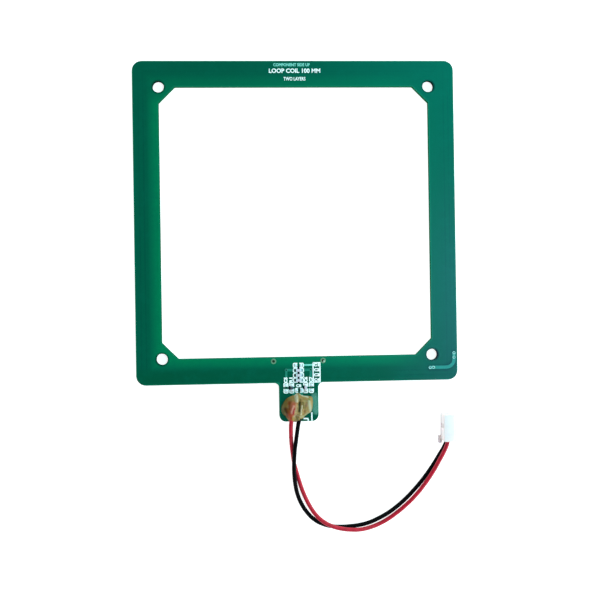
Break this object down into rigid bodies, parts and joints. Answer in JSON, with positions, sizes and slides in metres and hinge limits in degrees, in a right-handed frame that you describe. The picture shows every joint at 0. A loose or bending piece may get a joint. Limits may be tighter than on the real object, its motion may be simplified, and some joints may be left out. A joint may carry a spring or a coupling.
{
  "type": "loop antenna board with lead",
  "caption": "Flat square printed loop antenna with a large open window, a solder tab with a matching network, a glued two-wire lead and a small plug.",
  "frame": {"origin": "on the underside, under the centre of the board's outline with its tab (6 mm below the loop's own centre, towards the tab)", "axes": "+Z out of the component side, -Y towards the tab and the lead, +X to the right seen from the component side"},
  "size_m": [0.1, 0.1468, 0.0058],
  "materials": {
    "solder_mask": "satin green solder mask over glass-epoxy laminate",
    "copper": "copper foil under solder mask",
    "tin": "bright tin and solder",
    "ceramic": "matt fired ceramic",
    "resistor": "black glaze",
    "hot_glue": "translucent amber hot-melt glue",
    "red_pvc": "satin red PVC",
    "black_pvc": "satin black PVC",
    "nylon": "natural white moulded nylon"
  },
  "bodies": {
    "root": {"antenna_loop": "copper", "black_solder_joint": "tin", "black_strands_at_board": "tin", "black_strands_at_plug": "tin", "black_terminal": "tin", "black_wire": "black_pvc", "circuit_board": "solder_mask", "coil_net_left": "copper", "coil_net_right": "copper", "connector_housing": "nylon", "crossover_trace": "copper", "crossover_via_1": "copper", "crossover_via_2": "copper", "crossover_via_3": "copper", "crossover_via_4": "copper", "damping_resistor": "resistor", "damping_resistor_cap_a": "tin", "damping_resistor_cap_b": "tin", "feed_net_left": "copper", "feed_net_right": "copper", "feed_via_left": "copper", "feed_via_right": "copper", "glue_blob": "hot_glue", "loop_feed_trace": "copper", "red_solder_joint": "tin", "red_strands_at_board": "tin", "red_strands_at_plug": "tin", "red_terminal": "tin", "red_wire": "red_pvc", "series_capacitor": "ceramic", "series_capacitor_cap_a": "tin", "series_capacitor_cap_b": "tin", "test_eyelet_left": "tin", "test_eyelet_right": "tin", "tuning_capacitor_1": "ceramic", "tuning_capacitor_1_cap_a": "tin", "tuning_capacitor_1_cap_b": "tin", "tuning_capacitor_2": "ceramic", "tuning_capacitor_2_cap_a": "tin", "tuning_capacitor_2_cap_b": "tin", "tuning_capacitor_3": "ceramic", "tuning_capacitor_3_cap_a": "tin", "tuning_capacitor_3_cap_b": "tin"}
  },
  "joints": []
}
